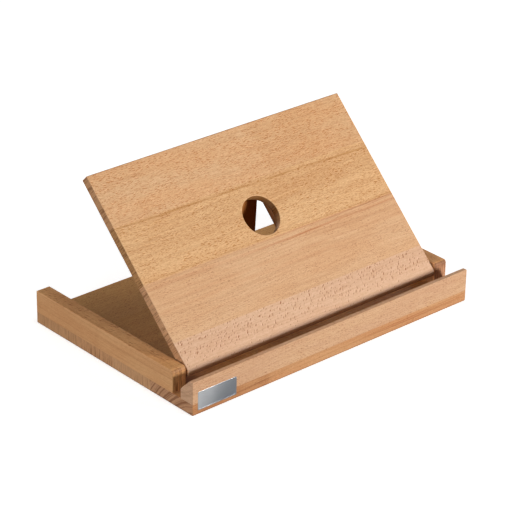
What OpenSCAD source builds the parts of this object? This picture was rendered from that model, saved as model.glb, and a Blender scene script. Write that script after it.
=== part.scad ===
// Folding beech tablet stand.
// Base board with two side rails and a front lip, a back-rest panel that turns
// between the rails, and a prop board hinged on the back of the panel.
// Frame: +X across the width, +Y to the back, +Z up. The origin is the centre
// of the footprint, on the underside of the base.

/* [Base] */
// Width of the base board and of the lip
base_w = 300; // [280:1:340]
// Depth of the base board, from front to back
base_d = 198.5; // [196:0.5:215]
// Thickness of the base board
base_t = 10; // [9:0.5:14]
// Width of the front stave of the base board
base_front_stave = 51; // [46:0.5:54]
// Width of the two inner staves of the base board
base_stave = 47; // [45:0.5:50]

/* [Rails] */
// Width of a side rail
rail_w = 13.5; // [12:0.5:16]
// Height of a side rail above the base board
rail_h = 19.2; // [18.5:0.1:22]
// Distance from the front face to the front end of a rail
rail_set = 24.2; // [23:0.1:26]
// Rounding of the front top edge of a rail
rail_round = 2.75; // [1:0.25:4]

/* [Lip] */
// Depth of the lip where it meets the base board
lip_d = 14.8; // [13:0.1:15.5]
// Height of the lip above the base board
lip_h = 19.2; // [18:0.1:22]
// Depth of the level top of the lip
lip_top = 4; // [2:0.1:6]
// Height of the upright part of the back of the lip
lip_back_h = 8.4; // [6:0.1:10]

/* [Panel] */
// Thickness of the back-rest panel
panel_t = 8; // [7:0.25:9]
// Distance from the pivot to the top edge of the panel
panel_up = 168.5; // [160:0.5:175]
// Distance from the pivot to the rounded lower edge of the panel
panel_tail = 8.5; // [7:0.25:9]
// Gap between an edge of the panel and its rail
side_gap = 1.5; // [1:0.25:3]
// Angle of the panel from horizontal when the prop stands
tilt = 44.16; // [40:0.02:48]
// Width of the inner staves of the panel
panel_stave = 51; // [49:0.5:52]
// Width of the top stave of the panel
panel_top_stave = 47.4; // [40:0.1:50]

/* [Pivot] */
// Distance from the front face to the panel pivot
pivot_set = 30; // [29:0.5:32]
// Diameter of the panel pivot pins
pivot_pin_d = 4; // [3:0.5:4.5]
// Depth of the blind pivot hole in a rail
pivot_rail_depth = 8; // [6:0.5:9]
// Depth of the blind pivot hole in the panel
pivot_panel_depth = 20; // [15:1:30]

/* [Finger hole] */
// Diameter of the finger hole
hole_d = 35; // [30:1:36]
// Distance from the pivot to the centre of the finger hole
hole_up = 90.6; // [89:0.1:96]
// Chamfer on the rims of the finger hole
hole_chamfer = 0.5; // [0.2:0.1:1]

/* [Prop] */
// Width of the prop board
prop_w = 39; // [36:0.5:42]
// Thickness of the prop board
prop_t = 8; // [7:0.25:8]
// Distance along the panel from its pivot to the prop pin
prop_pin_up = 119.9; // [119:0.1:125]
// Depth of the prop pin below the underside of the panel
prop_pin_drop = 4.4; // [4.3:0.1:4.6]
// Diameter of the prop pin
prop_pin_d = 4; // [3:0.5:4]
// Lean of the standing prop past upright
prop_lean = 3.4; // [2:0.2:5]
// Rounding of the foot of the prop
prop_foot_round = 1.5; // [1.5:0.25:2.5]

/* [Cleats] */
// Width of a cleat
cleat_w = 14; // [12:0.5:18]
// Thickness of a cleat
cleat_t = 9; // [8.5:0.25:9.5]
// Length of a cleat
cleat_l = 104; // [90:1:110]
// Distance from the prop pin to the upper end of a cleat
cleat_over = 11; // [8:0.5:14]
// Gap between the prop and a cleat
prop_gap = 0.5; // [0.3:0.1:1]

/* [Label plate] */
// Width of the label plate
label_w = 39; // [20:1:60]
// Height of the label plate
label_h = 16; // [8:0.5:18]
// Thickness of the label plate
label_t = 0.3; // [0.2:0.1:0.6]
// Distance from the left end of the base to the label plate
label_x = 5.2; // [3:0.1:20]
// Height of the lower edge of the label plate above the ground
label_z = 3.6; // [3:0.1:6]

/* [Fasteners] */
// Diameter of the dowels
dowel_d = 6; // [5:0.5:6]
// Depth of the dowels in the base board
dowel_in_base = 6.5; // [5:0.5:7]
// Depth of the dowels in the rails and the lip
dowel_in_top = 10; // [8:0.5:12]
// Diameter of the shank of the cleat screws
screw_d = 3.5; // [3:0.25:4]
// Length of the cleat screws
screw_l = 14.5; // [12:0.5:15]

/* [Hidden] */
$fn = 64;

beech = "#d9a877";
beech_pink = "#d8a27c";
beech_gold = "#dcae74";
beech_dark = "#b98455";
steel = "#c4c6c8";
silver = "#c9cdd2";

glue = 0.02;                      // radial play of a glued or pressed fit
run = 0.05;                       // radial play of a turning fit
foot_gap = 0.3;                   // play under the foot of the prop
front = -(base_d - label_t) / 2;  // front face of the base, so the box is centred
back = front + base_d;
half_w = base_w / 2;
pivot_y = front + pivot_set;
pivot_z = base_t + rail_h - panel_t / 2;
panel_w = base_w - 2 * rail_w - 2 * side_gap;
rail_l = base_d - rail_set;

base_cut = [0, base_front_stave, base_front_stave + base_stave,
            base_front_stave + 2 * base_stave, base_d];
panel_cut = [panel_up, panel_up - panel_top_stave,
             panel_up - panel_top_stave - panel_stave,
             panel_up - panel_top_stave - 2 * panel_stave, -panel_tail];

// one dowel of each rail stands in each stave of the base board
rail_dowel_y = [for (i = [0:3])
  i == 0 ? (rail_set + base_cut[1]) / 2 : (base_cut[i] + base_cut[i + 1]) / 2];
lip_dowel_x = [for (i = [-3:2:3]) i * base_w / 7.5];
cleat_in = prop_w / 2 + prop_gap;
cleat_hi = prop_pin_up + cleat_over;
cleat_lo = cleat_hi - cleat_l;
screw_u = [cleat_lo + 18, prop_pin_up - 12];
prop_pin_in = 10;                 // depth of the prop pin in a cleat
prop_pin_v = -panel_t / 2 - prop_pin_drop;

// place of the prop pin in the frame of the whole stand
pin_y = pivot_y + prop_pin_up * cos(tilt) - prop_pin_v * sin(tilt);
pin_z = pivot_z + prop_pin_up * sin(tilt) + prop_pin_v * cos(tilt);

// points of an arc about c, from angle a0 to a1
function arc(c, r, a0, a1, n = 6) =
  [for (i = [0:n]) c + r * [cos(a0 + (a1 - a0) * i / n), sin(a0 + (a1 - a0) * i / n)]];

// a corner at v rounded to radius r, between edges whose outward normals are at a0 and a1
function soft(v, r, a0, a1, n = 4) =
  arc(v - r / (1 + cos(a1 - a0)) * [cos(a0) + cos(a1), sin(a0) + sin(a1)], r, a0, a1, n);

// a Y-Z outline drawn out along X, centred on x = 0
module along_x(w) {
  translate([-w / 2, 0, 0]) rotate([90, 0, 90]) linear_extrude(w) children();
}

// the frame of the panel: Y runs up the slope from the pivot, Z is its face side
module on_panel() {
  translate([0, pivot_y, pivot_z]) rotate([tilt, 0, 0]) children();
}

// a straight pin along X
module pin(x0, x1, d, cham = 0.4) {
  translate([x0, 0, 0]) rotate([0, 90, 0]) {
    cylinder(h = cham, d1 = d - 2 * cham, d2 = d);
    translate([0, 0, cham]) cylinder(h = x1 - x0 - 2 * cham, d = d);
    translate([0, 0, x1 - x0 - cham]) cylinder(h = cham, d1 = d, d2 = d - 2 * cham);
  }
}

// a blind hole along X
module hole_x(x0, x1, d) {
  translate([x0, 0, 0]) rotate([0, 90, 0]) cylinder(h = x1 - x0, d = d);
}

// one dowel that stands across the joint plane z = 0
module dowel(cham = 0.8) {
  translate([0, 0, -dowel_in_base]) cylinder(h = cham, d1 = dowel_d - 2 * cham, d2 = dowel_d);
  translate([0, 0, -dowel_in_base + cham])
    cylinder(h = dowel_in_base + dowel_in_top - 2 * cham, d = dowel_d);
  translate([0, 0, dowel_in_top - cham]) cylinder(h = cham, d1 = dowel_d, d2 = dowel_d - 2 * cham);
}

module dowel_hole() {
  translate([0, 0, -dowel_in_base - 0.3])
    cylinder(h = dowel_in_base + dowel_in_top + 0.6, d = dowel_d + 2 * glue);
}

module rail_dowel_places(side) {
  for (y = rail_dowel_y) translate([side * (half_w - rail_w / 2), front + y, base_t]) children();
}

module lip_dowel_places() {
  for (x = lip_dowel_x) translate([x, front + lip_d / 2, base_t]) children();
}

// ---- base ----

module base_piece(i) {
  difference() {
    translate([-half_w, front + base_cut[i], 0])
      cube([base_w, base_cut[i + 1] - base_cut[i], base_t]);
    for (s = [-1, 1])
      translate([s * (half_w - rail_w / 2), front + rail_dowel_y[i], base_t]) dowel_hole();
    if (i == 0) lip_dowel_places() dowel_hole();
  }
}

module base_stave_1() { color(beech_gold) base_piece(0); }
module base_stave_2() { color(beech) base_piece(1); }
module base_stave_3() { color(beech_gold) base_piece(2); }
module base_stave_4() { color(beech) base_piece(3); }

// front at y = 0, a level top, then a bevel down to the upright back
module front_lip() {
  bevel = atan2(lip_d - lip_top, lip_h - lip_back_h);
  color(beech)
  difference() {
    translate([0, front, base_t]) along_x(base_w)
      polygon(concat(
        [[0, 0], [lip_d, 0]],
        soft([lip_d, lip_back_h], 2.4, 0, bevel),
        soft([lip_top, lip_h], 0.8, bevel, 90),
        soft([0, lip_h], 0.8, 90, 180)));
    lip_dowel_places() dowel_hole();
  }
}

module rail(side) {
  x = side * (half_w - rail_w / 2);
  difference() {
    translate([x, front + rail_set, base_t]) along_x(rail_w)
      polygon(concat(
        [[0, 0], [rail_l, 0]],
        soft([rail_l, rail_h], 0.8, 0, 90),
        soft([0, rail_h], rail_round, 90, 180, 8)));
    rail_dowel_places(side) dowel_hole();
    translate([0, pivot_y, pivot_z])
      if (side < 0) hole_x(-half_w + rail_w - pivot_rail_depth, -half_w + rail_w + 1, pivot_pin_d + 2 * run);
      else hole_x(half_w - rail_w - 1, half_w - rail_w + pivot_rail_depth, pivot_pin_d + 2 * run);
  }
}

module left_rail() { color(beech) rail(-1); }
module right_rail() { color(beech) rail(1); }

module label_plate() {
  color(silver)
  translate([-half_w + label_x, front, label_z]) rotate([90, 0, 0])
    linear_extrude(label_t)
      polygon(concat(
        arc([0.5, 0.5], 0.5, 180, 270, 4), arc([label_w - 0.5, 0.5], 0.5, 270, 360, 4),
        arc([label_w - 0.5, label_h - 0.5], 0.5, 0, 90, 4), arc([0.5, label_h - 0.5], 0.5, 90, 180, 4)));
}

module left_rail_dowels() { color(beech_dark) rail_dowel_places(-1) dowel(); }
module right_rail_dowels() { color(beech_dark) rail_dowel_places(1) dowel(); }
module lip_dowels() { color(beech_dark) lip_dowel_places() dowel(); }

// ---- panel, drawn flat in its own frame and then tilted ----

module screw_places() {
  for (s = [-1, 1], u = screw_u)
    translate([s * (cleat_in + cleat_w / 2), u, -panel_t / 2 - cleat_t]) children();
}

module screw_hole() {
  translate([0, 0, -1]) cylinder(h = screw_l + 1.3, d = screw_d + 2 * glue);
  translate([0, 0, -0.01])
    cylinder(h = screw_d / 2 + 0.01 + glue, d1 = 2 * screw_d + 2 * glue, d2 = screw_d + 2 * glue);
  translate([0, 0, -1]) cylinder(h = 1, d = 2 * screw_d + 2 * glue);
}

module panel_piece(i) {
  hi = panel_cut[i];
  lo = panel_cut[i + 1];
  r = panel_t / 2;
  on_panel() difference() {
    if (i < 3) translate([-panel_w / 2, lo, -r]) cube([panel_w, hi - lo, panel_t]);
    else {
      translate([-panel_w / 2, lo + r, -r]) cube([panel_w, hi - lo - r, panel_t]);
      translate([-panel_w / 2, lo + r, 0]) rotate([0, 90, 0]) cylinder(h = panel_w, r = r);
    }
    if (i == 1 || i == 2) screw_places() screw_hole();
    if (i == 1) translate([0, hole_up, 0]) {
      translate([0, 0, -r - 1]) cylinder(h = panel_t + 2, d = hole_d);
      translate([0, 0, r - hole_chamfer])
        cylinder(h = hole_chamfer + 0.1, d1 = hole_d, d2 = hole_d + 2 * hole_chamfer + 0.2);
      translate([0, 0, -r - 0.1])
        cylinder(h = hole_chamfer + 0.1, d1 = hole_d + 2 * hole_chamfer + 0.2, d2 = hole_d);
    }
    if (i == 3) {
      hole_x(-panel_w / 2 - 1, -panel_w / 2 + pivot_panel_depth, pivot_pin_d + 2 * glue);
      hole_x(panel_w / 2 - pivot_panel_depth, panel_w / 2 + 1, pivot_pin_d + 2 * glue);
    }
  }
}

module panel_stave_1() { color(beech) panel_piece(0); }
module panel_stave_2() { color(beech_gold) panel_piece(1); }
module panel_stave_3() { color(beech_pink) panel_piece(2); }
module panel_stave_4() { color(beech_pink) panel_piece(3); }

module cleat(side) {
  x0 = side < 0 ? -cleat_in - cleat_w : cleat_in;
  on_panel() difference() {
    translate([x0, cleat_lo, -panel_t / 2 - cleat_t]) cube([cleat_w, cleat_l, cleat_t]);
    translate([0, prop_pin_up, prop_pin_v])
      if (side < 0) hole_x(-cleat_in - prop_pin_in, -cleat_in + 1, prop_pin_d + 2 * glue);
      else hole_x(cleat_in - 1, cleat_in + prop_pin_in, prop_pin_d + 2 * glue);
    screw_places() screw_hole();
  }
}

module left_cleat() { color(beech_dark) cleat(-1); }
module right_cleat() { color(beech_dark) cleat(1); }

// countersunk screw with a cross recess, head at z = 0, point up
module cleat_screw() {
  tip = 2.5;
  difference() {
    union() {
      cylinder(h = screw_d / 2, d1 = 2 * screw_d, d2 = screw_d);
      translate([0, 0, screw_d / 2]) cylinder(h = screw_l - screw_d / 2 - tip, d = screw_d);
      translate([0, 0, screw_l - tip]) cylinder(h = tip, d1 = screw_d, d2 = 0.8);
    }
    for (a = [0, 90]) rotate([0, 0, a])
      translate([-screw_d * 0.55, -0.4, -0.1]) cube([screw_d * 1.1, 0.8, 1.3]);
  }
}

module cleat_screws() { color(steel) on_panel() screw_places() cleat_screw(); }

module pivot_pin(side) {
  a = half_w - rail_w + pivot_rail_depth - 0.3;
  b = panel_w / 2 - pivot_panel_depth + 0.3;
  translate([0, pivot_y, pivot_z])
    if (side < 0) pin(-a, -b, pivot_pin_d); else pin(b, a, pivot_pin_d);
}

module left_pivot_pin() { color(steel) pivot_pin(-1); }
module right_pivot_pin() { color(steel) pivot_pin(1); }

module prop_pin() {
  color(steel) on_panel() translate([0, prop_pin_up, prop_pin_v])
    pin(-cleat_in - prop_pin_in + 0.3, cleat_in + prop_pin_in - 0.3, prop_pin_d);
}

// ---- prop ----

// board with a round upper end about its pin and a level foot
module prop_board() {
  r = prop_t / 2;
  f = prop_foot_round;
  // height of the foot plane below the pin, along the board, at offset y
  function foot(y) = (base_t + foot_gap - pin_z - y * sin(prop_lean)) / cos(prop_lean);
  color(beech_dark)
  translate([0, pin_y, pin_z]) rotate([prop_lean, 0, 0])
  difference() {
    union() {
      along_x(prop_w)
        polygon(concat(
          [[-r, 0]],
          arc([-r + f, foot(-r + f) + f / cos(prop_lean)], f, 180, 270 - prop_lean, 4),
          arc([r - f, foot(r - f) + f / cos(prop_lean)], f, 270 - prop_lean, 360, 4),
          [[r, 0]]));
      translate([-prop_w / 2, 0, 0]) rotate([0, 90, 0]) cylinder(h = prop_w, r = r);
    }
    hole_x(-prop_w / 2 - 1, prop_w / 2 + 1, prop_pin_d + 2 * run);
  }
}

base_stave_1();
base_stave_2();
base_stave_3();
base_stave_4();
front_lip();
left_rail();
right_rail();
label_plate();
left_rail_dowels();
right_rail_dowels();
lip_dowels();
panel_stave_1();
panel_stave_2();
panel_stave_3();
panel_stave_4();
left_cleat();
right_cleat();
cleat_screws();
left_pivot_pin();
right_pivot_pin();
prop_pin();
prop_board();
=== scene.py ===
import math

import bmesh
import bpy
from mathutils import Matrix, Vector


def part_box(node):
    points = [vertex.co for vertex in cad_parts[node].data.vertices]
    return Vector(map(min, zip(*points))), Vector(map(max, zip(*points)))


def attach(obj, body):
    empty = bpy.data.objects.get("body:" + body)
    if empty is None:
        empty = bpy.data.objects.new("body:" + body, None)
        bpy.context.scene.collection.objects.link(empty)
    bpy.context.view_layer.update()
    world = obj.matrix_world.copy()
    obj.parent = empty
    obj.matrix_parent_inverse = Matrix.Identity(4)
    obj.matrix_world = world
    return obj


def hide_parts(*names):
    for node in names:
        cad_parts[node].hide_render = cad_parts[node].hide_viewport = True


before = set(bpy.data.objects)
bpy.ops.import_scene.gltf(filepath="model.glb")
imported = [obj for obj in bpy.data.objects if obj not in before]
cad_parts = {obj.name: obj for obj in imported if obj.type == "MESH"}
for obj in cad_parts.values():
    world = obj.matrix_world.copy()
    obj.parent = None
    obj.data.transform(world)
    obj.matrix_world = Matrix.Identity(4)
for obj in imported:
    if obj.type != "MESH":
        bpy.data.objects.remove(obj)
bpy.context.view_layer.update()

MM = 0.001

# ---------------------------------------------------------------- sizes, mm
BASE_W, BASE_D, BASE_T = 300.0, 198.5, 10.0
LABEL_T = 0.3
FRONT = -(BASE_D - LABEL_T) / 2
BACK = FRONT + BASE_D
HALF = BASE_W / 2
BASE_CUT = [0.0, 51.0, 98.0, 145.0, 198.5]
RAIL_W, RAIL_H, RAIL_SET, RAIL_ROUND = 13.5, 19.2, 24.2, 2.75
LIP_D, LIP_H, LIP_TOP, LIP_BACK = 14.8, 19.2, 4.0, 8.4
PANEL_T, PANEL_UP, PANEL_TAIL, SIDE_GAP = 8.0, 168.5, 8.5, 1.5
PANEL_W = BASE_W - 2 * RAIL_W - 2 * SIDE_GAP
PANEL_CUT = [168.5, 121.1, 70.1, 19.1, -8.5]
TILT = math.radians(44.16)
PIVOT_Y, PIVOT_Z = FRONT + 30.0, BASE_T + RAIL_H - PANEL_T / 2
HOLE_R, HOLE_UP = 17.5, 90.6
PROP_W, PROP_T, PROP_UP, PROP_DROP = 39.0, 8.0, 119.9, 4.4
LEAN = math.radians(3.4)
CLEAT_IN, CLEAT_W, CLEAT_T, CLEAT_L = 20.0, 14.0, 9.0, 104.0
CLEAT_HI = PROP_UP + 11.0
CLEAT_LO = CLEAT_HI - CLEAT_L
SCREW_U = [CLEAT_LO + 18, PROP_UP - 12]
PIN_V = -PANEL_T / 2 - PROP_DROP
PIN_Y = PIVOT_Y + PROP_UP * math.cos(TILT) - PIN_V * math.sin(TILT)
PIN_Z = PIVOT_Z + PROP_UP * math.sin(TILT) + PIN_V * math.cos(TILT)
FOOT_GAP = 0.3
SCREW_D, SCREW_L = 3.5, 14.5
RAIL_DOWEL_Y = [(RAIL_SET + BASE_CUT[1]) / 2] + [(BASE_CUT[i] + BASE_CUT[i + 1]) / 2 for i in (1, 2, 3)]
LIP_DOWEL_X = [-120.0, -40.0, 40.0, 120.0]

PANEL_M = Matrix.Translation(Vector((0, PIVOT_Y, PIVOT_Z)) * MM) @ Matrix.Rotation(TILT, 4, "X")
PROP_M = Matrix.Translation(Vector((0, PIN_Y, PIN_Z)) * MM) @ Matrix.Rotation(LEAN, 4, "X")
EDGE = 0.7

# tone of each piece: a factor on its wood colour, and the colour factor of its end grain
# These factors were tuned against target tones under this lighting, so they are partly the wood's own tone and partly
# painted light and shade: the prop is darkened as if in shade, the left rail's front end is lightened and the right
# rail's darkened.
G = dict(
    base1=(0.80, 0.80, 0.81), base2=(0.80, 0.78, 0.62), base3=(0.84, 0.82, 0.66), base4=(0.88, 0.86, 0.70), lip=(0.78, 0.80, 0.83),
    left_rail=(0.97, 0.97, 0.91), right_rail=(0.98, 0.93, 0.86),
    panel1=(0.90, 0.98, 1.04), panel2=(0.92, 0.97, 1.05), panel3=(0.86, 0.93, 0.95), panel4=(0.83, 0.86, 0.87), prop=(0.66, 0.50, 0.28),
)
E = dict(
    base1=(0.96, 0.98, 1.17), base2=(1.06, 1.115, 1.49), base3=(0.947, 0.934, 1.16), base4=(0.88, 0.87, 1.036), lip=(0.98, 0.98, 1.05),
    left_rail=(1.13, 1.12, 1.01), right_rail=(0.78, 0.74, 0.84),
    panel1=(0.71, 0.62, 0.55), panel2=(0.63, 0.53, 0.41), panel3=(0.85, 0.75, 0.68), panel4=(0.77, 0.64, 0.48),
)

# light: name, direction in degrees (0 in front, positive to the right), height in degrees, power, size in metres
LIGHTS = [
    ("key", 25, 10.5, 52, 0.38),
    ("left", -80, 9, 22, 0.9),
    ("back_left", -130, 35, 12, 0.9),
    ("top", 0, 80, 8.5, 0.9),
    ("back_right", 130, 35, 3, 0.9),
    ("back", 168, 2, 9, 0.3),
]
WORLD_LOW, WORLD_HIGH, FLOOR_GLOW = 0.25, 0.035, 0.60


# ---------------------------------------------------------------- mesh code
def lines_of(points, weights):
    """Outward edge lines (nx, ny, c, w) of a convex outline given counter-clockwise."""
    out = []
    for i, p in enumerate(points):
        q = points[(i + 1) % len(points)]
        dx, dy = q[0] - p[0], q[1] - p[1]
        n = math.hypot(dx, dy)
        nx, ny = dy / n, -dx / n
        out.append((nx, ny, nx * p[0] + ny * p[1], weights[i]))
    return out


def outline(lines, radii, inset, seg):
    """The outline moved in by inset on its free edges, with its corners rounded. radii[i] is at the end of edge i."""
    pts = []
    for i, (nx, ny, c, w) in enumerate(lines):
        mx, my, d, v = lines[(i + 1) % len(lines)]
        c1, d1 = c - w * inset, d - v * inset
        det = nx * my - ny * mx
        vx, vy = (c1 * my - d1 * ny) / det, (nx * d1 - mx * c1) / det
        if radii[i] <= 0:
            pts.append((vx, vy))
            continue
        r = max(radii[i] - inset, 0.06)
        k = r / (1 + nx * mx + ny * my)
        cx, cy = vx - k * (nx + mx), vy - k * (ny + my)
        a0, a1 = math.atan2(ny, nx), math.atan2(my, mx)
        while a1 < a0:
            a1 += 2 * math.pi
        for j in range(seg + 1):
            a = a0 + (a1 - a0) * j / seg
            pts.append((cx + r * math.cos(a), cy + r * math.sin(a)))
    return pts


def loft(name, points, weights, radii, s0, s1, end0, end1, place, seg=6, end_seg=6):
    """A rounded prism: the outline drawn from s0 to s1 with rounded ends, where place turns (s, a, b) into x, y, z in mm."""
    lines = lines_of(points, weights)
    sections = []
    if end0 > 0:
        for k in range(end_seg + 1):
            a = math.pi / 2 * k / end_seg
            sections.append((s0 + end0 * (1 - math.cos(a)), end0 * (1 - math.sin(a))))
    else:
        sections.append((s0, 0.0))
    if end1 > 0:
        for k in range(end_seg, -1, -1):
            a = math.pi / 2 * k / end_seg
            sections.append((s1 - end1 * (1 - math.cos(a)), end1 * (1 - math.sin(a))))
    else:
        sections.append((s1, 0.0))
    bm = bmesh.new()
    rings = []
    for s, d in sections:
        rings.append([bm.verts.new(Vector(place(s, a, b)) * MM) for a, b in outline(lines, radii, d, seg)])
    n = len(rings[0])
    for r0, r1 in zip(rings, rings[1:]):
        for i in range(n):
            bm.faces.new((r0[i], r0[(i + 1) % n], r1[(i + 1) % n], r1[i]))
    bm.faces.new(rings[0])
    bm.faces.new(rings[-1])
    bmesh.ops.remove_doubles(bm, verts=bm.verts, dist=0.00001)
    bmesh.ops.recalc_face_normals(bm, faces=bm.faces)
    mesh = bpy.data.meshes.new(name)
    bm.to_mesh(mesh)
    bm.free()
    obj = bpy.data.objects.new(name, mesh)
    bpy.context.scene.collection.objects.link(obj)
    return obj


def spin(name, profile, centre, axis, seg=48):
    """A solid of revolution, from (radius, height) pairs, used to cut bores. axis is x, y or z."""
    bm = bmesh.new()
    rings = []
    for r, h in profile:
        ring = []
        for i in range(seg):
            a = 2 * math.pi * i / seg
            p, q = r * math.cos(a), r * math.sin(a)
            v = {"x": (h, p, q), "y": (q, h, p), "z": (p, q, h)}[axis]
            ring.append(bm.verts.new((Vector(centre) + Vector(v)) * MM))
        rings.append(ring)
    for r0, r1 in zip(rings, rings[1:]):
        for i in range(seg):
            bm.faces.new((r0[i], r0[(i + 1) % seg], r1[(i + 1) % seg], r1[i]))
    bm.faces.new(rings[0])
    bm.faces.new(rings[-1])
    bmesh.ops.recalc_face_normals(bm, faces=bm.faces)
    mesh = bpy.data.meshes.new(name)
    bm.to_mesh(mesh)
    bm.free()
    obj = bpy.data.objects.new(name, mesh)
    bpy.context.scene.collection.objects.link(obj)
    return obj


def cut(obj, cutters):
    """Takes the cutters out of obj and deletes them."""
    for c in cutters:
        m = obj.modifiers.new("cut", "BOOLEAN")
        m.operation, m.solver, m.object = "DIFFERENCE", "EXACT", c
    bpy.context.view_layer.update()
    dg = bpy.context.evaluated_depsgraph_get()
    mesh = bpy.data.meshes.new_from_object(obj.evaluated_get(dg))
    obj.modifiers.clear()
    old = obj.data
    obj.data = mesh
    mesh.name = obj.name
    bpy.data.meshes.remove(old)
    for c in cutters:
        m = c.data
        bpy.data.objects.remove(c)
        bpy.data.meshes.remove(m)
    return obj


def finish_mesh(obj):
    """Smooth rounded edges, flat faces, sharp arrises only at glue joints and cut rims."""
    me = obj.data
    bm = bmesh.new()
    bm.from_mesh(me)
    for f in bm.faces:
        f.smooth = True
    for e in bm.edges:
        e.smooth = len(e.link_faces) == 2 and e.calc_face_angle(0.0) < math.radians(40)
    bm.to_mesh(me)
    bm.free()
    w = obj.modifiers.new("normals", "WEIGHTED_NORMAL")
    w.keep_sharp = True
    w.mode = "FACE_AREA"
    w.weight = 80
    return obj


def along_x(s, a, b):
    return (s, a, b)


def along_y(s, a, b):
    return (a, s, b)


# ---------------------------------------------------------------- materials
class Tree:
    """A material's node tree, with short calls for the nodes used here."""

    def __init__(self, name):
        self.m = bpy.data.materials.new(name)
        self.m.use_nodes = True
        self.t = self.m.node_tree
        self.t.nodes.clear()
        self.out = self.t.nodes.new("ShaderNodeOutputMaterial")
        self.bsdf = self.t.nodes.new("ShaderNodeBsdfPrincipled")
        self.t.links.new(self.bsdf.outputs[0], self.out.inputs[0])

    def node(self, kind, **sets):
        n = self.t.nodes.new(kind)
        for k, v in sets.items():
            setattr(n, k, v)
        return n

    def put(self, socket, value):
        if isinstance(value, bpy.types.NodeSocket):
            self.t.links.new(value, socket)
        else:
            socket.default_value = value

    def math(self, op, a, b=0.0, c=0.0, clamp=False):
        n = self.node("ShaderNodeMath", operation=op, use_clamp=clamp)
        self.put(n.inputs[0], a)
        self.put(n.inputs[1], b)
        self.put(n.inputs[2], c)
        return n.outputs[0]

    def vmath(self, op, a, b=(0, 0, 0)):
        n = self.node("ShaderNodeVectorMath", operation=op)
        self.put(n.inputs[0], a)
        if op != "LENGTH":
            self.put(n.inputs[1], b)
        return n.outputs["Value"] if op in ("DOT_PRODUCT", "LENGTH") else n.outputs[0]

    def ramp(self, v, lo, hi, a=0.0, b=1.0, smooth=True):
        n = self.node("ShaderNodeMapRange", interpolation_type="SMOOTHSTEP" if smooth else "LINEAR")
        for i, x in enumerate((v, lo, hi, a, b)):
            self.put(n.inputs[i], x)
        return n.outputs[0]

    def noise(self, v, detail=2.0, rough=0.5, dist=0.0):
        n = self.node("ShaderNodeTexNoise", noise_dimensions="3D")
        self.put(n.inputs["Vector"], v)
        n.inputs["Scale"].default_value = 1.0
        n.inputs["Detail"].default_value = detail
        n.inputs["Roughness"].default_value = rough
        n.inputs["Distortion"].default_value = dist
        return n.outputs[0]

    def mix(self, f, a, b, blend="MIX"):
        n = self.node("ShaderNodeMix", data_type="RGBA", blend_type=blend)
        n.clamp_factor = True
        self.put(n.inputs[0], f)
        self.put(n.inputs[6], a)
        self.put(n.inputs[7], b)
        return n.outputs[2]

    def mapping(self, v, loc=(0, 0, 0), rot=(0, 0, 0), scale=(1, 1, 1)):
        n = self.node("ShaderNodeMapping", vector_type="POINT")
        self.put(n.inputs["Vector"], v)
        n.inputs["Location"].default_value = loc
        n.inputs["Rotation"].default_value = rot
        n.inputs["Scale"].default_value = scale
        return n.outputs[0]

    def turn(self, v, angle):
        n = self.node("ShaderNodeVectorRotate", rotation_type="Z_AXIS")
        self.put(n.inputs["Vector"], v)
        self.put(n.inputs["Angle"], angle)
        return n.outputs[0]

    def split(self, v):
        n = self.node("ShaderNodeSeparateXYZ")
        self.put(n.inputs[0], v)
        return n.outputs

    def join(self, x, y, z):
        n = self.node("ShaderNodeCombineXYZ")
        for i, k in enumerate((x, y, z)):
            self.put(n.inputs[i], k)
        return n.outputs[0]

    def add(self, *terms):
        out = terms[0]
        for t in terms[1:]:
            out = self.math("ADD", out, t)
        return out

    def mul(self, *terms):
        out = terms[0]
        for t in terms[1:]:
            out = self.math("MULTIPLY", out, t)
        return out


def srgb(r, g, b):
    f = lambda c: c / 12.92 if c <= 0.04045 else ((c + 0.055) / 1.055) ** 2.4
    return (f(r / 255), f(g / 255), f(b / 255), 1.0)


INK_FLECK = (0.56, 0.36, 0.22, 1.0)
INK_GOLD = (0.76, 0.63, 0.44, 1.0)
INK_BROWN = (0.72, 0.60, 0.50, 1.0)
INK_RED = (0.84, 0.60, 0.47, 1.0)
INK_DARK = (0.46, 0.36, 0.28, 1.0)
INK_WARM = (0.80, 0.63, 0.45, 1.0)


def fleck_layer(T, q, k, cell, size, angle=0.0, jitter=12.0, share=0.7, strength=0.7, plane="gt"):
    """Rays cut across: one lens in some cells of a 3-D Voronoi pattern, with a paler edge beside it. cell is in mm along the
    grain, across it and into it; size is half the lens's length, width and depth. Gives the dark and the pale part."""
    a, b, c = cell
    v = T.mapping(q, loc=(k * 17.31, k * 9.17, k * 5.73), scale=(1 / a, 1 / b, 1 / c))
    vo = T.node("ShaderNodeTexVoronoi", voronoi_dimensions="3D", feature="F1", distance="EUCLIDEAN")
    T.put(vo.inputs["Vector"], v)
    vo.inputs["Scale"].default_value = 1.0
    vo.inputs["Randomness"].default_value = 1.0
    pick = T.node("ShaderNodeSeparateColor")
    T.put(pick.inputs[0], vo.outputs["Color"])
    dx, dy, dz = T.split(T.vmath("MULTIPLY", T.vmath("SUBTRACT", v, vo.outputs["Position"]), cell))
    d = T.join(dx, dy, dz) if plane == "gt" else T.join(dx, dz, dy)
    d = T.turn(d, T.math("MULTIPLY_ADD", pick.outputs[1], -2 * math.radians(jitter), math.radians(jitter - angle)))
    grow = T.math("MULTIPLY_ADD", pick.outputs[2], 0.75, 0.55)
    inv = (1 / size[0], 1 / size[1], 1 / size[2])
    chosen = T.ramp(pick.outputs[0], 1.0 - share, 1.2 - share, 0.0, strength)
    s = T.math("DIVIDE", T.vmath("LENGTH", T.vmath("MULTIPLY", d, inv)), grow)
    dark = T.mul(T.ramp(s, 1.12, 0.45), chosen)
    s2 = T.math("DIVIDE", T.vmath("LENGTH", T.vmath("MULTIPLY", T.vmath("SUBTRACT", d, (0.15, size[1] * 1.9, 0.0)), inv)), grow)
    pale = T.mul(T.ramp(s2, 1.15, 0.45), chosen)
    return dark, pale


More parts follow.
